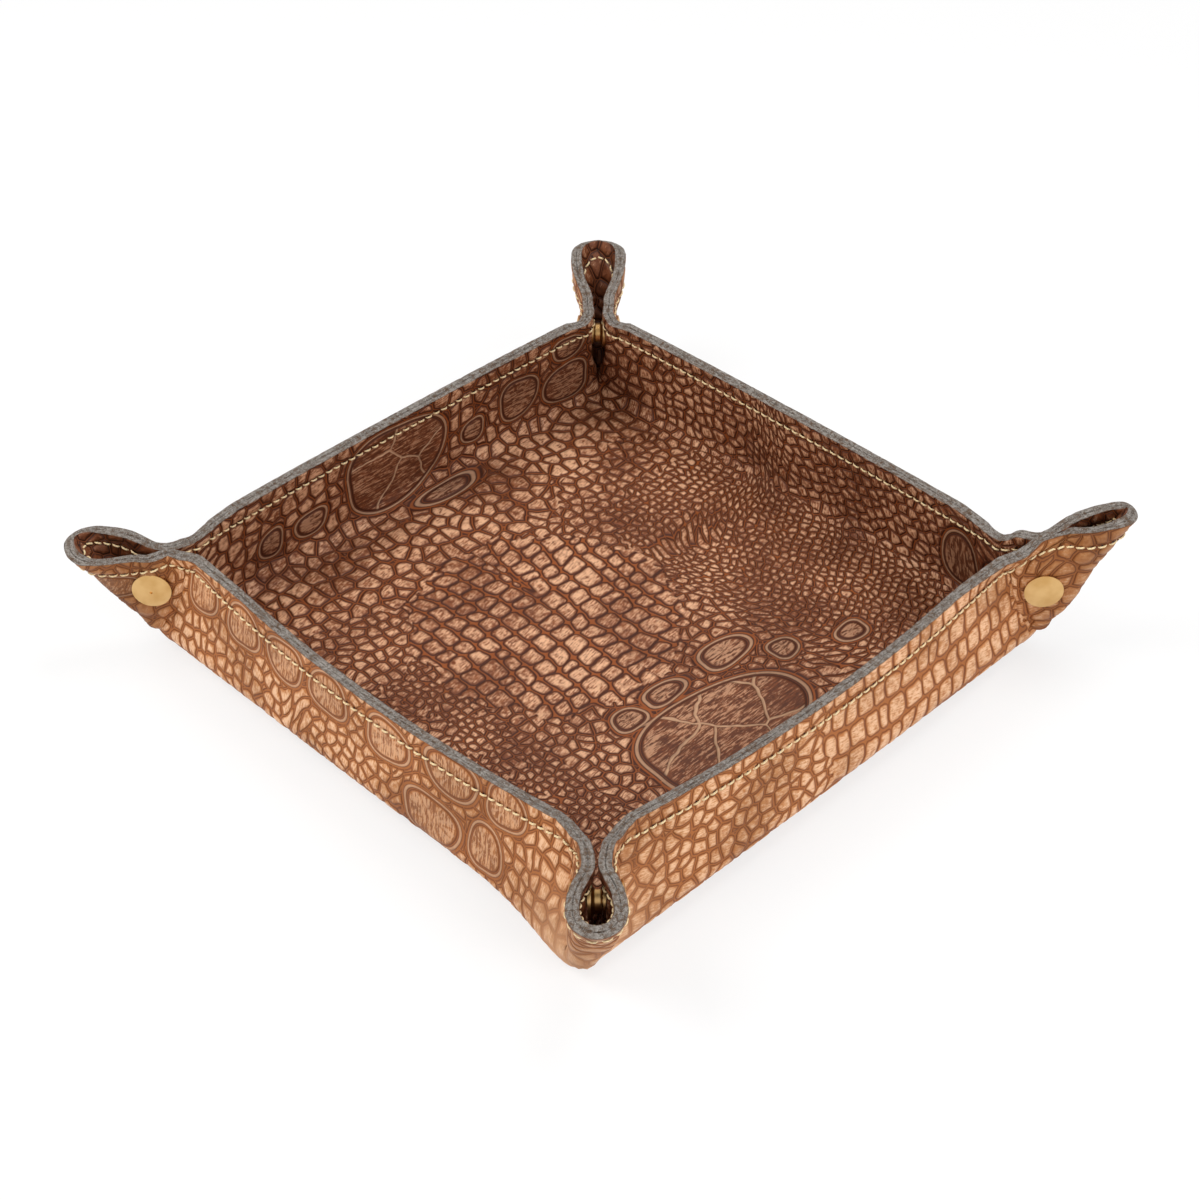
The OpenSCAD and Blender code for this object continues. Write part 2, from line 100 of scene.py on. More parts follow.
class Web:
    """A socket in a node tree. An expression on it adds Math nodes, and the same code serves a
    material's tree and a geometry tree."""

    def __init__(self, tree, out=None):
        self.tree, self.out = tree, out

    def node(self, kind, settings=None, inputs=None, out=0):
        made = self.tree.nodes.new(kind)
        for name, value in (settings or {}).items():
            setattr(made, name, value)
        for name, value in (inputs or {}).items():
            self.plug(made.inputs[name], value)
        return Web(self.tree, made.outputs[out])

    def plug(self, socket, value):
        if isinstance(value, Web):
            self.tree.links.new(value.out, socket)
        else:
            socket.default_value = value

    def sum(self, operation, *values):
        return self.node("ShaderNodeMath", {"operation": operation}, dict(enumerate(values)))

    def __add__(self, other): return self.sum("ADD", self, other)
    def __radd__(self, other): return self.sum("ADD", other, self)
    def __sub__(self, other): return self.sum("SUBTRACT", self, other)
    def __rsub__(self, other): return self.sum("SUBTRACT", other, self)
    def __mul__(self, other): return self.sum("MULTIPLY", self, other)
    def __rmul__(self, other): return self.sum("MULTIPLY", other, self)
    def __truediv__(self, other): return self.sum("DIVIDE", self, other)
    def __abs__(self): return self.sum("ABSOLUTE", self)
    def floor(self): return self.sum("FLOOR", self)
    def low(self, other): return self.sum("MINIMUM", self, other)
    def high(self, other): return self.sum("MAXIMUM", self, other)
    def wave(self): return self.sum("SINE", self)
    def power(self, other): return self.sum("POWER", self, other)

    def step(self, start, end):
        """0 before start, 1 after end, smooth between; start may be the larger."""
        if start > end:
            return 1 - self.step(end, start)
        return self.node("ShaderNodeMapRange", {"interpolation_type": "SMOOTHSTEP"},
                         {"Value": self, "From Min": start, "From Max": end})

    def split(self):
        parts = self.node("ShaderNodeSeparateXYZ", None, {0: self}).out.node
        return [Web(self.tree, out) for out in parts.outputs]

    def join(self, x, y, z=0.0):
        return self.node("ShaderNodeCombineXYZ", None, {0: x, 1: y, 2: z})

    def noise(self, place, scale, detail=2.0, rough=0.5):
        return self.node("ShaderNodeTexNoise", None,
                         {"Vector": place, "Scale": scale, "Detail": detail, "Roughness": rough})

    def cells(self, place, scale, randomness, feature="DISTANCE_TO_EDGE", dimensions="2D", out="Distance"):
        return self.node("ShaderNodeTexVoronoi", {"feature": feature, "voronoi_dimensions": dimensions},
                         {"W" if dimensions == "1D" else "Vector": place, "Scale": scale,
                          "Randomness": randomness}, out)

    def read(self, name):
        """A vector stored on the mesh's points."""
        if self.tree.type == "GEOMETRY":
            return self.node("GeometryNodeInputNamedAttribute", {"data_type": "FLOAT_VECTOR"},
                             {"Name": name})
        return self.node("ShaderNodeAttribute", {"attribute_name": name}, out=1)

    def pick(self, second, above, limit=0.5, blur=0.01):
        """This value, or the second one where above is over the limit."""
        return self + (second - self) * above.step(limit - blur, limit + blur)

    def shown(self):
        """1 for what the camera sees, straight or in a reflection, and 0 for what only lights."""
        camera, glossy, through = [self.node("ShaderNodeLightPath", out=f"Is {way} Ray")
                                   for way in ("Camera", "Glossy", "Transmission")]
        return (camera + glossy + through).low(1.0)

    def chance(self, value):
        """A number from 0 to 1 that stays the same for one whole number."""
        return self.node("ShaderNodeTexWhiteNoise", {"noise_dimensions": "1D"}, {"W": value})

    def tint(self, first, second, share):
        """A colour between two colours."""
        return self.node("ShaderNodeMix", {"data_type": "RGBA"}, {"Factor": share, 6: first, 7: second}, 2)


unseen_room, floor_white = 0.5, 0.72    # strength of the room's light, share of the floor's white
room = bpy.data.worlds.new("room")
bpy.context.scene.world = room
room.use_nodes = True
room_web = Web(room.node_tree)
background = room.node_tree.nodes["Background"]
background.inputs["Color"].default_value = (1, 1, 1, 1)
room_web.plug(background.inputs["Strength"], room_web.shown().high(unseen_room))

bpy.ops.object.select_all(action="DESELECT")
bpy.ops.mesh.primitive_plane_add(size=6)
floor = bpy.context.object
floor.name = "floor"
floor_paint = bpy.data.materials.new("floor_paint")
floor_paint.use_nodes = True
paint_tree = floor_paint.node_tree
paint = paint_tree.nodes["Principled BSDF"]
paint.inputs["Base Color"].default_value = (0.9, 0.9, 0.9, 1)
paint.inputs["Roughness"].default_value = 0.9
floor_web = Web(paint_tree)
white = floor_web.node("ShaderNodeEmission", None, {"Color": (1, 1, 1, 1), "Strength": 1.0})
painted = floor_web.node("ShaderNodeMixShader", None, {
    0: floor_web.shown() * floor_white, 1: Web(paint_tree, paint.outputs[0]), 2: white})
floor_web.plug(paint_tree.nodes["Material Output"].inputs["Surface"], painted)
floor.data.materials.append(floor_paint)

# The two leathers. Each is one square sheet with rounded corners, embossed with crocodile grain.
# They are laid back to back, sewn, and folded up together: the walls stand on a soft fold, and at
# each corner the leather doubles into a fin that the snap pinches, with a loop open at its top.
floor_half = 98.5          # from the centre to the corner of the floor fold
leather_t = 2.0            # thickness of each leather
corner_h, end_h, middle_h = 43.5, 40.0, 37.0   # flat height of the leather: loop, wall's end, mid-side
cut_corner_r = 13.0        # radius of the blank's corners
fold_r_corner, fold_r_middle = 6.0, 9.0        # radius of the floor fold
lean_corner, lean_middle = 12.0, 6.0           # how far the walls lean outwards, in degrees
side_bow, rim_gather = 1.1, 7.3                # how far the sides bow out, and the corners draw in
bend_soft, rim_soft = 3.0, 8.0                 # how softly the walls run into a loop, and at the rim
loop_slope = math.radians(61)                  # rise of the fold at the bottom of a loop
loop_r, loop_r_low = 6.5, 2.7                  # radius of a loop, at its tip and at its foot
pinch_half, snap_half = 2.5, 4.6               # from the diagonal to the leather's middle
snap_out, snap_up, cap_d = 7.2, 0.602 * corner_h, 12.5
snap_top = 32.5            # flat height up to which the leather keeps to the caps' even shape
seam_inset = 5.5
corners = {"front": (1, -1), "right": (1, 1), "back": (-1, 1), "left": (-1, -1)}
# How each real corner differs from the even one: the lift of its loop's middle and tip, how far
# its pinch stands out along the diagonal, how far its side on an X wall and on a Y wall bulges,
# how far each side sags beside the pinch, how far the loop's foot stands out, and how far the
# floor's corner has crept along X and Y
loop_lift = {"front": (-3.0, -8.0), "right": (3.5, 3.5), "back": (-2.0, 0.0), "left": (-5.0, -9.0)}
pinch_out = {"front": 1.0, "right": 7.0, "back": 0.0, "left": 4.0}
loop_bulge = {"front": (0.0, 0.0), "right": (0.0, -3.5), "back": (1.5, 1.5), "left": (0.0, 3.5)}
far_sag = {"front": (0.0, 0.0), "right": (0.0, 3.0), "back": (0.0, 0.0), "left": (2.0, 0.0)}
foot_out = {"front": 0.0, "right": 1.4, "back": 1.4, "left": 1.4}
foot_creep = {"front": (0.0, -7.0), "right": (0.0, 0.0), "back": (0.0, 0.0), "left": (0.0, 0.0)}

half_root = math.sqrt(0.5)
fold_dir = np.array([math.cos(loop_slope) * half_root] * 2 + [math.sin(loop_slope)])
fold_up = np.array([-math.sin(loop_slope) * half_root] * 2 + [math.cos(loop_slope)])
fold_side = np.array([half_root, -half_root, 0])
floor_corner = np.array([floor_half, floor_half, leather_t])
snap_along, snap_across = (snap_up + snap_out) * half_root, (snap_up - snap_out) * half_root


def ease(share):
    share = np.clip(share, 0, 1)
    return share * share * (3 - 2 * share)


def mix(first, second, share):
    return first + (second - first) * share


def section(out, along):
    """How far out and how high the leather is, a flat distance out from the centre."""
    middleness = 1 - np.minimum(1, np.abs(along) / floor_half) ** 2
    r = mix(fold_r_corner, fold_r_middle, middleness)
    turn = np.radians(90 + mix(lean_corner, lean_middle, middleness))
    fold = floor_half + side_bow * middleness
    start = fold - r * turn / 2
    angle = (out - start) / r
    past = out - fold - r * turn / 2
    return (np.where(angle < 0, out, np.where(angle < turn, start + r * np.sin(angle),
                                              start + r * np.sin(turn) + past * np.cos(turn))),
            np.where(angle < 0, 0, np.where(angle < turn, r * (1 - np.cos(angle)),
                                            r * (1 - np.cos(turn)) + past * np.sin(turn))))


def drawn_in(p, q):
    """How far the gathered rim is drawn in towards a side's middle. p is the flat distance out
    from the centre and q the distance along the side."""
    up = np.maximum(0, p - floor_half)
    return rim_gather * 2 * up / (corner_h + up) * np.minimum(1, q / floor_half) ** 3


def tray_place(p, q):
    """The leather folded up at two sides, for the floor and the walls away from a corner."""
    out, up = section(p, np.minimum(q, floor_half))
    side, side_up = section(q, np.minimum(p, floor_half))
    return np.stack([out, side - drawn_in(p, q), leather_t + up + side_up], -1)


def wall_place(p, q):
    """One wall carried straight on past its corner."""
    out, up = section(p, np.minimum(q, floor_half))
    return np.stack([out, q - drawn_in(p, q), leather_t + up], -1)


def loop_place(s, e):
    """The doubled leather of a corner: a round fold, then a flat pinch, wider where the snap
    sits. s is the flat height and e the distance along the wall past the corner."""
    along, across = (s + e) * half_root, np.maximum(0, (s - e) * half_root)
    r = mix(loop_r_low, loop_r, ease((along / corner_h - 0.15) / 0.85))
    apex = r * math.pi / 2
    rise = np.where(across < apex, r * (1 - np.cos(across / r)), r + across - apex)
    shut = np.maximum(0.62 * along, apex + loop_r_low)
    opening = np.where(across < apex, r * np.sin(np.minimum(across, apex) / r),
                       mix(r, pinch_half, ease((across - apex) / (shut - apex))))
    away = np.hypot(along - snap_along, across - snap_across) / cap_d
    half = np.where(across == 0, 0, mix(opening, snap_half, 1 - ease((away - 0.72) / 0.48)))
    return (floor_corner + along[..., None] * fold_dir + rise[..., None] * fold_up
            + half[..., None] * fold_side)


def sheet_place(x, y):
    """Where a flat place of the blank is once the tray is folded, at the middle of the leathers."""
    p, q = np.maximum(np.abs(x), np.abs(y)), np.minimum(np.abs(x), np.abs(y))
    s, e = p - floor_half, q - floor_half
    along = (s + e) * half_root
    flat, wall, loop = tray_place(p, q), wall_place(p, q), loop_place(s, e)
    above_snap = ease((s - snap_top) / (corner_h - snap_top))
    soft = bend_soft * ease(1.5 * s / corner_h) + rim_soft * ease((s - 25) / 18)
    share = np.clip((1 + (loop[..., 0] - wall[..., 0]) / np.maximum(soft, 1e-9)) / 2, 0, 1)
    bent = wall + (loop - wall) * share[..., None]
    bent[..., 0] += soft * share * (1 - share)
    place = flat + (bent - flat) * np.where(s > 0, ease((along / corner_h - 0.02) / 0.2), 0)[..., None]
    on_x = np.abs(x) >= np.abs(y)
    sx, sy = np.where(x < 0, -1, 1), np.where(y < 0, -1, 1)
    place = np.stack([np.where(on_x, place[..., 0], place[..., 1]) * sx,
                      np.where(on_x, place[..., 1], place[..., 0]) * sy, place[..., 2]], -1)
    for name, (cx, cy) in corners.items():
        here = (sx == cx) & (sy == cy)
        middle, tip = loop_lift[name]
        curl = middle * ease((along - 19) / 19) + (tip - middle) * ease((along - 34) / 22) ** 1.5
        creep = np.exp(-((np.abs(x) - floor_half) ** 2 + (np.abs(y) - floor_half) ** 2) / 26 ** 2)
        creep = creep * (1 - ease(along / 40))
        foot = ease((along + 5) / 8) * (1 - ease((along - 3) / 10)) * (1 - ease((s - e) / 18))
        sag = ease((e + 30) / 18) * (1 - ease((e - 2) / 16)) * above_snap
        sag *= np.where(on_x, far_sag[name][0], far_sag[name][1])
        place[..., 2] += np.where(here, curl - sag, 0)
        near_pinch = ease((e + 42) / 38) * (1 - ease((e - 3) / 30)) * above_snap
        swell = ease((e + 2) / 10) * (1 - ease((s - e) / -14 + 1)) * above_snap
        swell *= np.where(on_x, loop_bulge[name][0], loop_bulge[name][1]) * half_root
        far_side = np.where(on_x, far_sag[name][0], far_sag[name][1]) > 0
        out = near_pinch * pinch_out[name] * half_root * np.where(far_side, 0.25, 1)
        for axis, sign in ((0, cx), (1, cy)):
            sideways = np.where(on_x, 1, -1) * (1 if axis == 0 else -1)
            shift = sign * (out + swell * sideways + foot * foot_out[name])
            place[..., axis] += np.where(here, creep * foot_creep[name][axis] + shift, 0)
    return place


def sheet_normal(x, y, reach=0.05):
    """Square to the leathers, pointing into the tray."""
    across = sheet_place(x + reach, y) - sheet_place(x - reach, y)
    upward = sheet_place(x, y + reach) - sheet_place(x, y - reach)
    normal = np.cross(across, upward)
    return normal / np.linalg.norm(normal, axis=-1, keepdims=True)


def rim_height(along):
    """Flat height of the leather above the floor fold, at a place along a side."""
    along = np.abs(along)
    end = floor_half - 0.2 * end_h
    height = mix(end_h, middle_h, 1 - np.minimum(1, along / end) ** 2)
    return height + (corner_h - end_h) * ease((along - end) / (floor_half + 0.02 * corner_h - end))


# The grid that a leather is modelled on: even cells over the floor, and rows up to the cut edge
floor_cells, wall_cells, back_step = 208, 44, 4
cells = floor_cells + 2 * wall_cells
lines = np.concatenate([
    -floor_half - corner_h * np.linspace(1, 0, wall_cells + 1)[:-1],
    np.linspace(-floor_half, floor_half, floor_cells + 1),
    floor_half + corner_h * np.linspace(0, 1, wall_cells + 1)[1:]])
grid_x, grid_y = np.meshgrid(lines, lines, indexing="ij")


def to_rim(value, other):
    """A grid line's flat place, with the rows of a wall spread up to its own rim."""
    past = np.maximum(0, np.abs(value) - floor_half) / corner_h
    sign = np.sign(value)
    return sign * np.minimum(np.abs(value), floor_half) + sign * past * rim_height(other)


flat_x, flat_y = to_rim(grid_x, grid_y), to_rim(grid_y, grid_x)
corner_start = floor_half + corner_h - cut_corner_r     # where the cut edge begins to round
round_x = np.clip((np.abs(flat_x) - corner_start) / cut_corner_r, 0, 1)
round_y = np.clip((np.abs(flat_y) - corner_start) / cut_corner_r, 0, 1)
rounded_x = corner_start + cut_corner_r * round_x * np.sqrt(1 - round_y ** 2 / 2)
rounded_y = corner_start + cut_corner_r * round_y * np.sqrt(1 - round_x ** 2 / 2)
in_corner = (round_x > 0) & (round_y > 0)
flat_x = np.where(in_corner, np.sign(flat_x) * rounded_x, flat_x)
flat_y = np.where(in_corner, np.sign(flat_y) * rounded_y, flat_y)

# Places round the cut edge, in order, and which way is out of the leather there
ring = ([(i, 0) for i in range(cells)] + [(cells, j) for j in range(cells)]
        + [(i, cells) for i in range(cells, 0, -1)] + [(0, j) for j in range(cells, 0, -1)])
ring_i, ring_j = np.array(ring).T
inner_i, inner_j = np.clip(ring_i, 2, cells - 2), np.clip(ring_j, 2, cells - 2)
middle_place = sheet_place(flat_x, flat_y)
middle_normal = sheet_normal(flat_x, flat_y)
edge_out = middle_place[ring_i, ring_j] - middle_place[inner_i, inner_j]
edge_normal = middle_normal[ring_i, ring_j]
edge_out -= edge_normal * np.sum(edge_out * edge_normal, -1, keepdims=True)
edge_out /= np.linalg.norm(edge_out, axis=-1, keepdims=True)


# The seam's run: straight beside each rim and round each corner, with a hole between stitches
seam_r = cut_corner_r - seam_inset
side_run = 2 * corner_start + seam_r * math.pi / 2
stitch_count = 312
seam_run = 4 * side_run
stitch_pitch = seam_run / stitch_count


def seam_coordinates(x, y):
    """How far round the seam a flat place lies, and how far outside it."""
    along, outside = np.zeros_like(x), np.full_like(x, -99.0)
    for side in range(4):
        out, t = (x, y, -x, -y)[side], (y, -x, -y, x)[side]
        here = (out >= np.abs(t)) | ((out > corner_start) & (t > corner_start))
        corner = here & (out > corner_start) & (t > corner_start)
        straight = here & (t <= corner_start)
        along = np.where(straight, side * side_run + t + corner_start, along)
        outside = np.where(straight, out - floor_half - rim_height(t) + seam_inset, outside)
        angle = np.arctan2(t - corner_start, out - corner_start)
        along = np.where(corner, side * side_run + 2 * corner_start + seam_r * angle, along)
        outside = np.where(corner, np.hypot(t - corner_start, out - corner_start) - seam_r, outside)
    return along, outside


# The grain. Each face carries belly rows, round and small scales and a few big scutes, placed
# where the photograph shows them. The coordinates of each kind are stored on the mesh.
def region(x, y, centre_x, centre_y, half_x, half_y):
    """1 at the middle of an ellipse, 0.5 on its outline."""
    return 1 - np.hypot((x - centre_x) / half_x, (y - centre_y) / half_y) / 2


def nearest_scute(x, y, scutes):
    """How far inside the nearest scute's outline each place lies, its bearing there and the
    scute's half width."""
    best = np.full_like(x, -99.0)
    angle, broad = np.zeros_like(x), np.zeros_like(x)
    for centre_x, centre_y, half_x, half_y in scutes:
        u, v = (x - centre_x) / half_x, (y - centre_y) / half_y
        around = np.arctan2(v, u)
        wave = 1 + 0.06 * np.sin(3 * around + centre_x)
        inside = (1 - (np.abs(u) ** 2.5 + np.abs(v) ** 2.5) ** 0.4 / wave) * min(half_x, half_y)
        nearer = inside > best
        angle, broad = np.where(nearer, around, angle), np.where(nearer, min(half_x, half_y), broad)
        best = np.maximum(best, inside)
    return best, angle, broad


def inner_grain(x, y):
    """Coordinates of the belly rows and their share, of the round scales and their size class,
    and the scutes with their half widths, on the face inside the tray."""
    scutes = [(-117, 0, 18, 23), (-113, 82, 10, 12), (-130, 82, 6, 9), (-117, 58, 10, 10),
              (-113, 36, 6, 6), (-112, -38, 6, 8), (-113, -56, 7, 6), (60, -4, 19, 33),
              (35, 23, 6.5, 11.5), (47, 38, 5.5, 6), (35, -5, 5, 9.5), (36, -22, 5.5, 7),
              (73, 116, 9, 13), (90, 112, 7, 10), (57, 60, 5, 7), (-93, 18, 5, 15)]
    rows = region(x, y, -16, -6, 46, 44)
    bowed = y + 2.5 * np.sin((x + 20) / 24) - 0.0024 * (x + 10) ** 2 * np.sign(y)
    upper = ease((y - 30) / 30)
    size = 0.1 + 1.2 * ease((x + 75) / 50) + 0.25 * ease((-30 - y) / 30)
    size += 0.7 * upper * ease((x + 90) / 40)
    size = np.minimum(size, 2.2) - 0.9 * ease((abs(y) - 96) / 8) * (size > 1.4)
    slant = 0.5 * upper * ease((x + 25) / 20) * ease((90 - x) / 20)
    return (x, bowed, rows), (x + slant * (y - 75), (y - slant * 0.6 * (x - 30)) * 1.1, size), scutes


def outer_grain(x, y):
    """The same on the face outside the tray."""
    scutes = [(c, s * 128, 9.5, 8) for s in (-1, 1) for c in (-118, -80, -56, -34, -13)]
    scutes += [(c, s * d, rx, ry) for s in (-1, 1) for c, d, rx, ry in
               ((34, 110, 13, 9), (57, 113, 8, 9), (14, 127, 10, 8), (41, 130, 12, 8), (64, 131, 9, 8))]
    side_rows = region(x, y, 122, 44, 44, 50) * (x > 60)
    other_rows = region(x, y, -122, -44, 44, 50) * (x < -60)
    under_rows = region(x, y, 0, 0, 50, 50)
    on_side = (np.abs(x) > 88) & (np.abs(x) > np.abs(y))
    rows = np.maximum(under_rows, np.maximum(side_rows, other_rows))
    slant = 0.6 * ease((np.abs(y) - 84) / 10) * ease((x + 35) / 15) * ease((28 - x) / 15)
    u = np.where(on_side, y, x)
    v = np.where(on_side, (x + 2.6 * np.sin(y / 21)) * 0.84, y)
    size = np.where(np.hypot(x, y) < 80, 0.0, 1.0)
    return (u, v, rows), (x + slant * (y - np.sign(y) * 112), y * 0.88 - slant * x, size), scutes


def rounded(web, first, second, radius=2.4):
    """The smaller of two distances, with the corner between them rounded."""
    a, b = (radius - first).high(0), (radius - second).high(0)
    return radius - (a * a + b * b).power(0.5)


def round_scales(web, place, size, randomness, boost):
    """Distance from the groove round each scale of a size."""
    edge = web.cells(place, 1 / size, randomness) * size
    middle = web.cells(place, 1 / size, randomness, "F1") * size
    return edge.low(0.74 * size - middle) * boost


row_pitch, cross_pitch = 7.4, 6.6       # of the belly rows, and of the scales in a row
tiny_size, small_size, large_size, plate_size = 3.4, 4.9, 6.8, 23


def grain_depth(web):
    """Distance from the nearest groove and into the nearest scute in millimetres, the place, and
    where the leather is smooth, spoked, creased pale and part of a big scute."""
    x_flat, y_flat, smooth = web.read("flat").split()
    u, v, rows = web.read("rows").split()
    x, y, size = web.read("cells").split()
    inside, bearing, broad = web.read("scute").split()
    place = web.join(x_flat, y_flat)
    drift, drift_too = web.noise(place, 0.07) - 0.5, web.noise(web.join(y_flat, x_flat), 0.08) - 0.5
    u, v = u + 6 * drift, v + 5 * drift_too
    x, y = x + 5 * drift_too, y + 5 * drift
    rows = rows + 0.3 * drift
    size = size + 0.6 * drift_too
    from_row = web.cells(v, 1 / row_pitch, 0.6, dimensions="1D") * row_pitch
    which = (web.cells(v, 1 / row_pitch, 0.6, "F1", "1D", "W") * 2.3).floor()
    shifted = u / cross_pitch + web.chance(which) * 31
    from_cross = web.cells(shifted, 1.0, 0.95, dimensions="1D") * cross_pitch
    cell_place = web.join(x, y)
    tiny = round_scales(web, cell_place, tiny_size, 0.6, 1.5)
    small = round_scales(web, cell_place, small_size, 0.7, 1.3)
    scales = round_scales(web, cell_place, large_size, 0.75, 1.1)
    scales = scales.pick(small, size, 0.5).pick(tiny, size, 1.5)
    scales = scales.high((-1 * scales).low(tiny * 0.8))
    base = scales.pick(rounded(web, from_row, from_cross + 0.25, 2.0), rows, 0.5)
    bent_place = web.join(x_flat + 7 * drift, y_flat + 7 * drift_too)
    plate = web.cells(bent_place, 1 / plate_size, 0.9) * plate_size
    plate = plate + broad.step(16, 12) * 9
    marks = rounded(web, abs(inside), (abs(inside - 1.5) + 0.2).low(plate + 0.3), 1.2)
    base = base.low(-1 * inside)
    spokes = web.noise(web.join(bearing * 5.0, inside * 0.12, broad), 1.0, 2.0)
    crack = plate.step(0.65, 0.3) * inside.step(1.8, 2.4)
    pale = (crack + inside.step(0.35, 0.6) * inside.step(1.3, 1.0) * 0.7).low(1.0)
    return base.pick(marks, inside, 0.0), inside, place, smooth, spokes, pale, broad.step(9, 14)


# The relief, which lowers the grooves and the seam's channel in the mesh itself
groove_depth = 0.0003      # in metres
displace = bpy.data.node_groups.new("grain_relief", "GeometryNodeTree")
displace.interface.new_socket("Geometry", in_out="INPUT", socket_type="NodeSocketGeometry")
displace.interface.new_socket("Geometry", in_out="OUTPUT", socket_type="NodeSocketGeometry")
relief_web = Web(displace)
groove, _, _, smooth, _, _, _ = grain_depth(relief_web)
seam_out = relief_web.read("seam").split()[1]
lowered = (1 - groove.step(0.0, 1.5)) * (1 - smooth * 0.8) + 0.6 * (1 - abs(seam_out).step(0.3, 1.6))
offset = relief_web.node("ShaderNodeVectorMath", {"operation": "SCALE"},
                         {0: relief_web.read("outward"), "Scale": lowered * -groove_depth})
entry = displace.nodes.new("NodeGroupInput")
exit_node = displace.nodes.new("NodeGroupOutput")
moved = relief_web.node("GeometryNodeSetPosition", None, {"Offset": offset})
displace.links.new(entry.outputs[0], moved.out.node.inputs["Geometry"])
displace.links.new(moved.out, exit_node.inputs[0])


# The cut edge: for each row of its points, the share of the leather's thickness and how far the
# fibres stand out
rows_of_edge = [(0.93, 0.10), (0.72, 0.20), (0.45, 0.22), (0.2, 0.18), (0.0, 0.02)]


def store(mesh, name, values):
    """Keeps a vector on each of the mesh's points."""
    attribute = mesh.attributes.new(name, "FLOAT_VECTOR", "POINT")
    attribute.data.foreach_set("vector", np.ascontiguousarray(values, np.float32).ravel())


def back_faces(back_number):
    """Faces of a leather's hidden back: coarse cells that keep every point of the cut edge, split
    along the diagonals as the grain is."""
    faces = []
    for i in range(0, cells, back_step):
        for j in range(0, cells, back_step):
            far_i, far_j = i + back_step, j + back_step
            walk = []
            for a, b in (((i, j), (i, far_j)), ((i, far_j), (far_i, far_j)),
                         ((far_i, far_j), (far_i, j)), ((far_i, j), (i, j))):
                di, dj = np.sign(b[0] - a[0]), np.sign(b[1] - a[1])
                on_edge = (a[0] == b[0] and a[0] in (0, cells)) or (a[1] == b[1] and a[1] in (0, cells))
                walk += [back_number(a[0] + di * k, a[1] + dj * k)
                         for k in range(back_step if on_edge else 1)]
            first, second, third = [walk.index(back_number(*corner)) for corner in
                                    ((i, far_j), (far_i, far_j), (far_i, j))]
            if i == j:
                faces += [walk[:second + 1], walk[second:] + walk[:1]]
            elif i + j == cells - back_step:
                faces += [walk[first:third + 1], walk[third:] + walk[:first + 1]]
            else:
                faces.append(walk)
    return faces


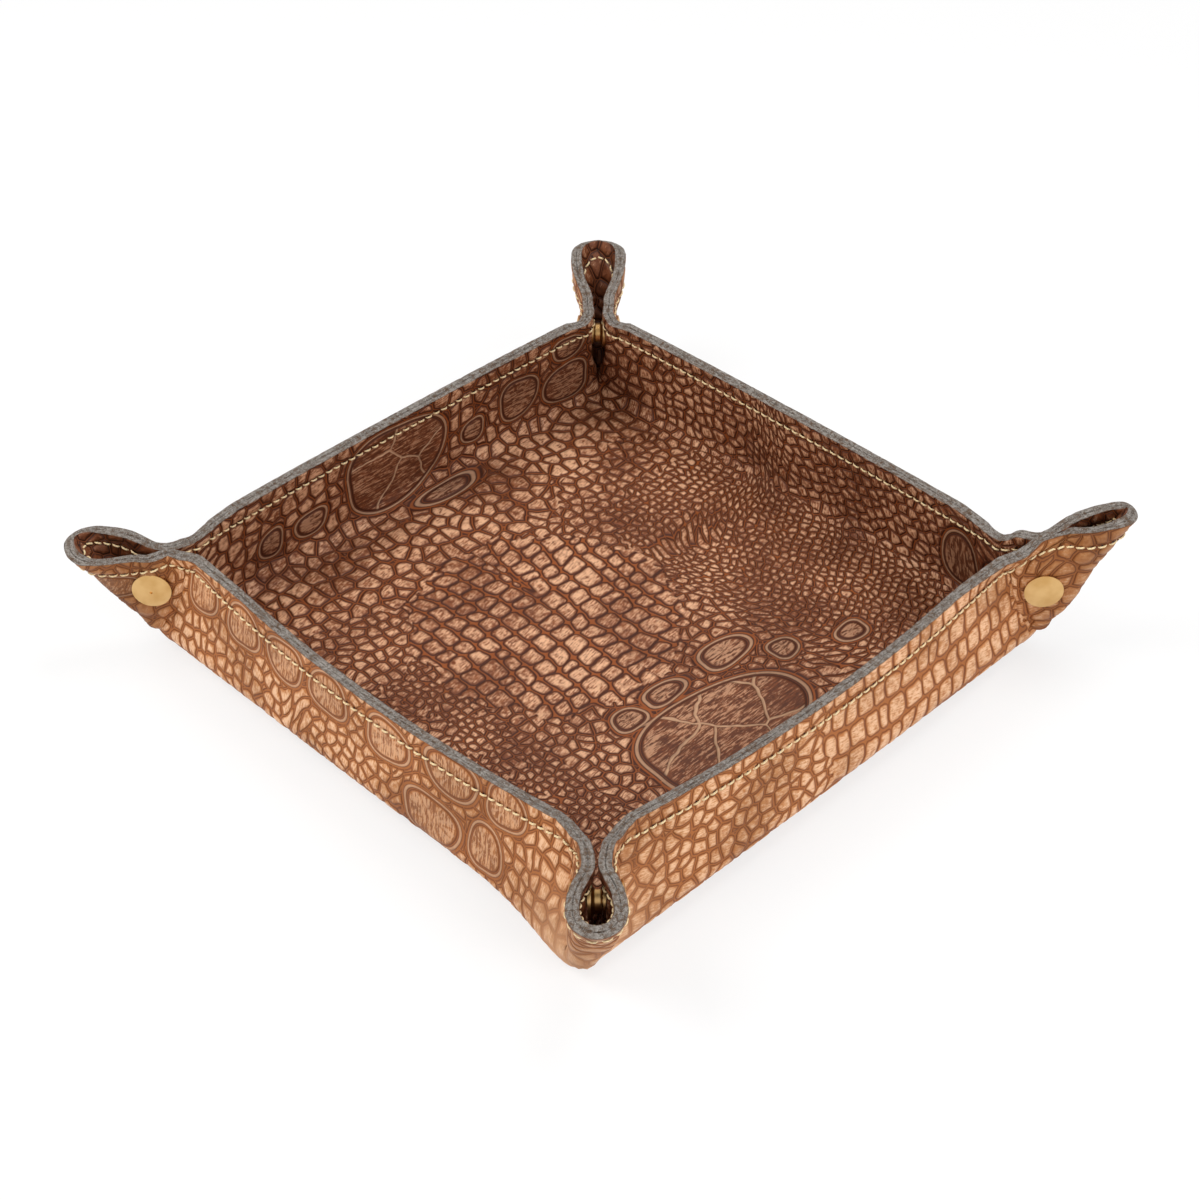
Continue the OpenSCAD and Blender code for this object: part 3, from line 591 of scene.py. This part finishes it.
def leather_mesh(name, side):
    """One leather, closed: its grain face, its cut edge and its hidden back. side is 1 for the
    face inside the tray and -1 for the face outside."""
    across = cells + 1
    face = middle_place + side * leather_t * middle_normal
    points = [face.reshape(-1, 3)]
    flats = [np.stack([flat_x, flat_y], -1).reshape(-1, 2)]
    rng = np.random.default_rng(7 + side)
    for share, out in rows_of_edge:
        coarse = np.interp(np.arange(len(ring)) / 3, np.arange(len(ring) // 3 + 2),
                           rng.normal(0, 0.15, len(ring) // 3 + 2))
        fuzz = out + (coarse + rng.normal(0, 0.04, len(ring))) * (0.3 + 0.7 * (share < 0.9))
        points.append(middle_place[ring_i, ring_j] + side * leather_t * share * edge_normal
                      + edge_out * fuzz[:, None])
        flats.append(np.stack([flat_x[ring_i, ring_j], flat_y[ring_i, ring_j]], -1))
    first_row = across * across
    last_row = first_row + (len(rows_of_edge) - 1) * len(ring)
    inner = np.arange(back_step, cells, back_step)
    back_i, back_j = np.meshgrid(inner, inner, indexing="ij")
    points.append(middle_place[back_i, back_j].reshape(-1, 3))
    flats.append(np.stack([flat_x[back_i, back_j], flat_y[back_i, back_j]], -1).reshape(-1, 2))
    back_start = last_row + len(ring)
    on_ring = {place: last_row + k for k, place in enumerate(ring)}
    faces = []
    number = np.arange(across * across).reshape(across, across)
    for i in range(cells):
        for j in range(cells):
            a, b, c, d = number[i, j], number[i + 1, j], number[i + 1, j + 1], number[i, j + 1]
            faces += ([(a, b, c), (a, c, d)] if i == j else
                      [(a, b, d), (b, c, d)] if i + j == cells - 1 else [(a, b, c, d)])
    grain_count = len(faces)
    edge_from = number[ring_i, ring_j]
    for row in range(len(rows_of_edge)):
        edge_to = first_row + row * len(ring) + np.arange(len(ring))
        faces += np.stack([edge_from, edge_to, np.roll(edge_to, -1), np.roll(edge_from, -1)], -1).tolist()
        edge_from = edge_to

    def back_number(i, j):
        if (i, j) in on_ring:
            return on_ring[i, j]
        return back_start + (i // back_step - 1) * len(inner) + j // back_step - 1

    faces += back_faces(back_number)
    if side < 0:
        faces = [f[::-1] for f in faces]
    flats = np.concatenate(flats)
    mesh = bpy.data.meshes.new(name)
    mesh.from_pydata((np.concatenate(points) * 0.001).tolist(), [], faces)
    slots = np.zeros(len(faces), np.int32)      # 0 for the grain, 1 for the raw edge and back
    slots[grain_count:] = 1
    mesh.polygons.foreach_set("material_index", slots)
    mesh.polygons.foreach_set("use_smooth", np.ones(len(faces), bool))

    x, y = flats.T
    rows, cell_place, scutes = (inner_grain if side > 0 else outer_grain)(x, y)
    smooth = np.exp(-((x - floor_half) ** 2 + (y + floor_half) ** 2) / 20 ** 2) * (side < 0)
    outward = np.zeros((len(flats), 3))
    outward[:first_row] = side * middle_normal.reshape(-1, 3)
    through = np.ones(len(flats))
    for row, (share, _) in enumerate(rows_of_edge):
        through[first_row + row * len(ring):first_row + (row + 1) * len(ring)] = share
    along, outside = seam_coordinates(x, y)
    store(mesh, "flat", np.stack([x, y, smooth], -1))
    store(mesh, "rows", np.stack(rows, -1))
    store(mesh, "cells", np.stack(cell_place, -1))
    store(mesh, "scute", np.stack(nearest_scute(x, y, scutes), -1))
    store(mesh, "outward", outward)
    store(mesh, "seam", np.stack([along / stitch_pitch, outside, through], -1))
    made = bpy.data.objects.new(name, mesh)
    bpy.context.scene.collection.objects.link(made)
    relief = made.modifiers.new("relief", "NODES")
    relief.node_group = displace
    bpy.ops.object.select_all(action="DESELECT")
    made.select_set(True)
    bpy.context.view_layer.objects.active = made
    bpy.ops.object.modifier_apply(modifier="relief")
    return made


def photo_colour(red, green, blue):
    """A colour read off the photograph, 0 to 255, as Blender stores it."""
    return tuple((c / 255 / 12.92 if c < 11 else ((c / 255 + 0.055) / 1.055) ** 2.4)
                 for c in (red, green, blue)) + (1.0,)


def finish_material(name, build, **constants):
    """A material whose shader's sockets take build(web)'s values and the constants."""
    material = bpy.data.materials.new(name)
    material.use_nodes = True
    shader = material.node_tree.nodes["Principled BSDF"]
    web = Web(material.node_tree)
    for socket, value in constants.items():
        shader.inputs[socket.replace("_", " ")].default_value = value
    for socket, value in build(web).items():
        web.plug(shader.inputs[socket], value)
    return material


def grain_finish(groove, ring, base, top, dust, worn):
    """Grain whose grooves hold the dark stain and whose scales are rubbed pale in fine streaks, with
    painted shade on the ears and in the needle holes. worn is where the rubbing begins and is complete."""
    groove_colour, ring_colour, base_colour, top_colour, dust_colour = [
        photo_colour(*colour) for colour in (groove, ring, base, top, dust)]

    def build(web):
        groove, inside, place, smooth, spokes, pale, big = grain_depth(web)
        x, y, _ = web.read("flat").split()
        along, seam_out, _ = web.read("seam").split()
        cloudy = web.noise(place, 0.03, 3.0)
        streak = web.noise(web.join(x * 2.3 + y * 0.5, y * 0.3 - x * 0.1), 1.0, 3.0, 0.65)
        mottle = web.noise(place, 0.45, 4.0, 0.65)
        top = groove.step(0.65, 1.7)
        in_scute = inside.step(1.5, 2.6)
        long_streak = web.noise(web.join(x * 1.3, y * 0.16), 1.0, 4.0, 0.7)
        streak = streak + (spokes - 0.5) * 1.1 * in_scute * inside.step(9.0, 4.0)
        streak = streak + (long_streak - 0.5) * 2.2 * in_scute
        # Painted shade on the ears, the blank's corners that fold up into the loops: their pale rubbing is
        # held back and their colour darkened, for the shade on the folded corners and inside the loops.
        ear_shade = abs(x).low(abs(y)).step(94, 106)
        rubbed = streak * 0.9 + mottle * 0.55 + cloudy * 0.45 + in_scute * (0.03 - 0.14 * big)
        rubbed = (rubbed - 0.14 * ear_shade).step(*worn)
        colour = web.tint(base_colour, top_colour, top * mottle.step(0.3, 0.6))
        dark_streak = in_scute * long_streak.step(0.56, 0.44)
        colour = web.tint(colour, ring_colour, dark_streak * 0.6)
        colour = web.tint(colour, dust_colour, rubbed * top * 0.85)
        colour = web.tint(colour, dust_colour, smooth * (0.3 + 0.4 * streak))
        ring = groove.step(0.14, 0.36) * groove.step(0.9, 0.5) * (1 - smooth)
        colour = web.tint(colour, ring_colour, ring * 0.85)
        colour = web.tint(colour, groove_colour, groove.step(0.3, 0.08) * (0.9 - 0.8 * smooth))
        colour = web.tint(colour, dust_colour, pale * (0.35 + 0.6 * mottle))
        # Darker in broad random clouds of tone, and darker on the ears as painted shade.
        shade = (1 - 0.22 * cloudy.step(0.6, 0.35)) * (1 - 0.3 * ear_shade)
        colour = web.tint((0, 0, 0, 1), colour, shade)
        # Painted shade: the needle holes between the stitches are coloured almost black.
        hole = abs(along - along.floor() - 0.5).step(0.38, 0.46) * abs(seam_out).step(0.55, 0.3)
        channel = abs(seam_out).step(1.2, 0.4)
        colour = web.tint(colour, ring_colour, channel * 0.3)
        # The painted shade of the needle holes.
        colour = web.tint(colour, (0.01, 0.006, 0.004, 1), hole * 0.9)
        pores = web.noise(place, 2.6, 2.0)
        height = (groove.step(0.05, 1.2) * (1 - 0.85 * smooth) + groove.step(0.8, 2.4) * 0.4
                  + mottle * 0.25 + pores * 0.1 + streak * 0.3 - hole * 1.0 - channel * 0.4)
        bump = web.node("ShaderNodeBump", None, {"Strength": 0.9, "Distance": 0.0005, "Height": height})
        rough = 0.52 + 0.2 * mottle - 0.14 * top
        return {"Base Color": colour, "Roughness": rough, "Normal": bump}
    return build


def raw_fibres(web):
    """Matted grey fibres, stained brown beside the grain and dark where the two leathers meet."""
    x, y, _ = web.read("flat").split()
    _, _, through = web.read("seam").split()
    clumps = web.noise(web.join(x, y, through * 4), 0.6, 4.0, 0.7)
    hair = web.noise(web.join(x * 2.4, y * 2.4, through * 7), 1.0, 3.0, 0.75)
    mix_share = (clumps * 0.75 + hair * 0.7).step(0.5, 0.95)
    colour = web.tint(photo_colour(74, 66, 60), photo_colour(182, 174, 166), mix_share)
    colour = web.tint(colour, photo_colour(126, 96, 72), clumps.step(0.52, 0.4) * 0.5)
    colour = web.tint(colour, photo_colour(70, 60, 54), through.step(0.1, 0.0) * 0.3)
    colour = web.tint(colour, photo_colour(120, 78, 50), through.step(0.85, 1.0) * 0.7)
    bump = web.node("ShaderNodeBump", None,
                    {"Strength": 1.0, "Distance": 0.0007, "Height": clumps * 0.8 + hair})
    return {"Base Color": colour, "Roughness": 0.86 + 0.1 * hair, "Normal": bump}


outer = leather_mesh("outer_whole", -1)
inner = leather_mesh("inner_whole", 1)
outer.data.materials.append(finish_material("outer_grain", grain_finish(
    groove=(166, 98, 46), ring=(118, 60, 26), base=(184, 114, 58), top=(208, 142, 86),
    dust=(244, 198, 158), worn=(0.85, 1.06)), Specular_IOR_Level=0.3))
inner.data.materials.append(finish_material("inner_grain", grain_finish(
    groove=(142, 74, 30), ring=(54, 22, 8), base=(108, 54, 26), top=(150, 86, 50),
    dust=(230, 182, 144), worn=(0.86, 1.06)), Specular_IOR_Level=0.28))
raw_edge = finish_material("raw_edge", raw_fibres, Specular_IOR_Level=0.15)
outer.data.materials.append(raw_edge)
inner.data.materials.append(raw_edge)


# The ears. When a snap opens, the stud's half of the corner turns about the fold at the bottom of
# the loop. A strip beside that fold bends, 3 to 8 mm up the loop, and so does 15 mm of the wall.
strip_start, strip_end, wall_strip = 0.003, 0.008, 0.015
wall_bend_along, wall_bend_up = 0.5, 0.866      # which way the bend of the wall runs


def bend_lines(corner):
    """Where the stud's half of a corner bends when its snap opens, in metres: beside the loop's
    fold, and across the wall. Each is where the bend starts and where it is complete."""
    cx, cy = corners[corner]
    vertex = np.array([cx * floor_half, cy * floor_half, leather_t]) * 0.001
    upward = fold_up * (cx, cy, 1)
    sideways = np.array([-cy, cx, 0]) * half_root
    along_wall = np.array([cx, 0, 0] if cx == cy else [0, cy, 0]) * wall_bend_along + (0, 0, wall_bend_up)
    toward = (upward + sideways) * half_root
    return ((vertex + toward * strip_start * half_root, vertex + toward * strip_end * half_root),
            (vertex, vertex + along_wall * wall_strip))


def bend_share(points, line):
    """0 where the bend starts and 1 where it is complete."""
    start, run = line[0], line[1] - line[0]
    return (points - start) @ run / (run @ run)


def mesh_points(mesh):
    points = np.empty(len(mesh.vertices) * 3)
    mesh.vertices.foreach_get("co", points)
    return points.reshape(-1, 3)


def stored(mesh, name):
    """A vector that store kept on each point."""
    values = np.empty(len(mesh.vertices) * 3, np.float32)
    mesh.attributes[name].data.foreach_get("vector", values)
    return values.reshape(-1, 3)


def face_vertices(mesh):
    """The corners of all faces in one list, and where each face's corners start in it."""
    starts, vertices = np.empty(len(mesh.polygons), np.int32), np.empty(len(mesh.loops), np.int32)
    mesh.polygons.foreach_get("loop_start", starts)
    mesh.loops.foreach_get("vertex_index", vertices)
    return starts, vertices


def cut_out(mesh, keep, name):
    """A new object of some of a mesh's faces, shaded as they were on the whole."""
    starts, vertices = face_vertices(mesh)
    ends = np.append(starts[1:], len(vertices))
    kept = np.flatnonzero(keep)
    faces = [vertices[starts[f]:ends[f]] for f in kept]
    used, numbered = np.unique(np.concatenate(faces), return_inverse=True)
    cuts = np.cumsum([len(f) for f in faces])[:-1]
    piece = bpy.data.meshes.new(name)
    faces = [face.tolist() for face in np.split(numbered, cuts)]
    piece.from_pydata(mesh_points(mesh)[used].tolist(), [], faces)
    slots = np.empty(len(mesh.polygons), np.int32)
    mesh.polygons.foreach_get("material_index", slots)
    piece.polygons.foreach_set("material_index", slots[kept])
    piece.polygons.foreach_set("use_smooth", np.ones(len(kept), bool))
    for attribute in mesh.attributes:
        if attribute.data_type == "FLOAT_VECTOR" and attribute.name not in ("position", "outward"):
            store(piece, attribute.name, stored(mesh, attribute.name)[used])
    for material in mesh.materials:
        piece.materials.append(material)
    shading = stored(mesh, "shading")[used]
    piece.normals_split_custom_set_from_vertices(
        (shading / np.linalg.norm(shading, axis=1, keepdims=True)).tolist())
    made = bpy.data.objects.new(name, piece)
    bpy.context.scene.collection.objects.link(made)
    return made


def part_at_corners(whole, stem, ear_nodes, group=1):
    """Parts a sheet or a seam at its four studs, blends the parts and returns the rest. A part is
    cut where its two bends are equal, so that neither opens a gap. group faces stay together."""
    mesh = whole.data
    normals = np.empty(len(mesh.vertices) * 3, np.float32)
    mesh.vertex_normals.foreach_get("vector", normals)
    store(mesh, "shading", normals)
    starts, vertices = face_vertices(mesh)
    still = np.ones(len(starts), bool)

    def of_group(combine, values):
        return np.repeat(combine(values.reshape(-1, group), axis=1), group)

    def face_means(values, starts, vertices):
        means = np.add.reduceat(values[vertices], starts) / np.diff(np.append(starts, len(vertices)))
        return of_group(np.mean, means)

    for corner, (cx, cy) in corners.items():
        by_fold, by_wall = bend_lines(corner)
        points, flat = mesh_points(mesh), stored(mesh, "flat")
        share = np.minimum(bend_share(points, by_fold), bend_share(points, by_wall))
        middle_x, middle_y = [face_means(flat[:, k], starts, vertices) for k in (0, 1)]
        moves = of_group(np.max, np.maximum.reduceat(share[vertices], starts)) > 0
        moves &= (middle_x * cx > 0) & (middle_y * cy > 0)
        moves &= (np.abs(middle_x) > np.abs(middle_y)) == (cx != cy)
        still &= ~moves
        patch = cut_out(mesh, moves, stem)
        if group == 1:
            sheet = bmesh.new()
            sheet.from_mesh(patch.data)
            run_1, run_2 = by_fold[1] - by_fold[0], by_wall[1] - by_wall[0]
            square = run_1 / (run_1 @ run_1) - run_2 / (run_2 @ run_2)
            offset = run_1 @ (by_fold[0] - by_wall[0]) / (run_1 @ run_1)
            bmesh.ops.bisect_plane(
                sheet, geom=sheet.verts[:] + sheet.edges[:] + sheet.faces[:], dist=1e-7,
                plane_co=by_wall[0] + square * offset / (square @ square), plane_no=square)
            sheet.to_mesh(patch.data)
            sheet.free()
        points = mesh_points(patch.data)
        gap = bend_share(points, by_fold) - bend_share(points, by_wall)
        gap = face_means(gap, *face_vertices(patch.data))
        for kind, keep, line in (("loop", gap < 0, by_fold), ("ear", gap >= 0, by_wall)):
            if keep.any():
                piece = cut_out(patch.data, keep, f"{stem}_{kind}_{corner}")
                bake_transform(piece, "tray", f"ear_{corner}", start=tuple(line[0]), end=tuple(line[1]))
                if kind == "ear":
                    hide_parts(f"{ear_nodes}_{corner}")
        bpy.data.objects.remove(patch)
    rest = cut_out(mesh, still, stem + "_sheet")
    bpy.data.objects.remove(whole)
    return rest


for whole, stem, ear_nodes in ((outer, "outer_leather", "outer_ear"),
                               (inner, "inner_leather", "inner_ear")):
    still_part = part_at_corners(whole, stem, ear_nodes)
    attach(still_part, "tray")
    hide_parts(stem)


# The seam. A waxed cream thread lies on each face as short stitches that sink into the needle
# holes, each a little aslant. Each stitch is a closed tube of five rings, thinner at its ends.
stitch_half_width, stitch_half_height = 0.33, 0.28
ring_share = np.array([0.11, 0.24, 0.5, 0.76, 0.89])       # where each ring is between two holes
ring_height = np.array([-0.3, 0.06, 0.2, 0.06, -0.3])
ring_girth = np.array([0.8, 1.0, 1.05, 1.0, 0.8])
ring_slant = np.array([-0.16, -0.1, 0, 0.1, 0.16])
rings, sides = len(ring_share), 7
stitch_faces = [[a * sides + b, a * sides + (b + 1) % sides, (a + 1) * sides + (b + 1) % sides,
                 (a + 1) * sides + b] for a in range(rings - 1) for b in range(sides)]
stitch_faces += [list(range(sides))[::-1], [(rings - 1) * sides + b for b in range(sides)]]


def seam_place(along):
    """The flat place of the seam, a distance round it."""
    side, run = np.divmod(along, side_run)
    t = run - corner_start
    angle = np.maximum(0, (run - 2 * corner_start) / seam_r)
    out = np.where(angle > 0, corner_start + seam_r * np.cos(angle),
                   floor_half + rim_height(t) - seam_inset)
    t = np.where(angle > 0, corner_start + seam_r * np.sin(angle), t)
    side = side.astype(int) % 4
    return np.choose(side, [out, -t, -out, t]), np.choose(side, [t, out, -t, -out])


def stitch_mesh(name, side):
    """All stitches of one face of the tray; side is as in leather_mesh."""
    rng = np.random.default_rng(40 + side)
    start = (np.arange(stitch_count) + 0.5) * stitch_pitch
    along = (start[:, None] + ring_share[None] * stitch_pitch) % seam_run
    x, y = seam_place(along)
    wander = rng.normal(0, 0.05, (stitch_count, 1))
    next_x, next_y = seam_place((along + 0.05) % seam_run)
    run = sheet_place(next_x, next_y) - sheet_place(x, y)
    run /= np.linalg.norm(run, axis=-1, keepdims=True)
    up = side * sheet_normal(x, y)
    over = np.cross(up, run)
    centre = (sheet_place(x, y) + up * (leather_t + ring_height[None, :, None])
              + over * (ring_slant * -side + wander)[..., None])
    turns = np.arange(sides) * 2 * math.pi / sides
    points = (centre[:, :, None] + ring_girth[None, :, None, None]
              * (stitch_half_width * np.cos(turns)[None, None, :, None] * over[:, :, None]
                 + stitch_half_height * np.sin(turns)[None, None, :, None] * up[:, :, None]))
    faces = [[k * rings * sides + corner for corner in face]
             for k in range(stitch_count) for face in stitch_faces]
    mesh = bpy.data.meshes.new(name)
    mesh.from_pydata((points.reshape(-1, 3) * 0.001).tolist(), [], faces)
    mesh.polygons.foreach_set("use_smooth", np.ones(len(faces), bool))
    shape = (stitch_count, rings, sides)
    turn = np.broadcast_to(np.arange(sides) / sides, shape)
    length = np.broadcast_to(ring_share[None, :, None] * stitch_pitch, shape)
    which = np.broadcast_to(np.arange(stitch_count)[:, None, None] * 0.37, shape)
    store(mesh, "ply", np.stack([length, turn, which], -1).reshape(-1, 3))
    store(mesh, "flat", np.repeat(np.stack([x, y, 0 * x], -1).reshape(-1, 3), sides, axis=0))
    made = bpy.data.objects.new(name, mesh)
    bpy.context.scene.collection.objects.link(made)
    return made


def waxed_thread(web):
    """Twisted strands under a little wax."""
    length, turn, which = web.read("ply").split()
    strand = (length * 5.5 + turn * 6.283).wave()
    shade = web.noise(web.join(length, turn, which), 2.0, 3.0)
    colour = web.tint(photo_colour(222, 186, 128), photo_colour(252, 234, 192),
                      strand * 0.25 + 0.5 + shade * 0.5 - 0.2)
    bump = web.node("ShaderNodeBump", None, {"Strength": 0.6, "Distance": 0.0001, "Height": strand})
    return {"Base Color": colour, "Roughness": 0.5 + 0.2 * shade, "Normal": bump}


thread_finish = finish_material("waxed_thread", waxed_thread, Specular_IOR_Level=0.4)
for name, side in (("bobbin_thread", -1), ("needle_thread", 1)):
    stitches = stitch_mesh(name + "_whole", side)
    stitches.data.materials.append(thread_finish)
    still_part = part_at_corners(stitches, name, name, group=len(stitch_faces))
    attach(still_part, "tray")
    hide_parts(name)


# The snaps. Each has a stud and a socket, pressed through the leather onto the posts of two round
# caps. All are turned brass with a satin finish, and the model's own solids are shown.
def satin(web):
    """Brass with fine brushing and a slightly uneven tone."""
    coordinates = web.node("ShaderNodeTexCoord", out=3)
    fine = web.noise(coordinates, 900, 3.0, 0.6)
    cloudy = web.noise(coordinates, 160, 2.0)
    colour = web.tint(photo_colour(204, 160, 100), photo_colour(222, 182, 124), cloudy.step(0.3, 0.7))
    bump = web.node("ShaderNodeBump", None, {"Strength": 0.12, "Distance": 0.0001, "Height": fine})
    return {"Base Color": colour, "Roughness": 0.3 + 0.14 * fine, "Normal": bump}


brass = finish_material("satin_brass", satin, Metallic=1.0)
for name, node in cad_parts.items():
    if name.startswith(("stud", "socket")):
        node.data.materials.clear()
        node.data.materials.append(brass)
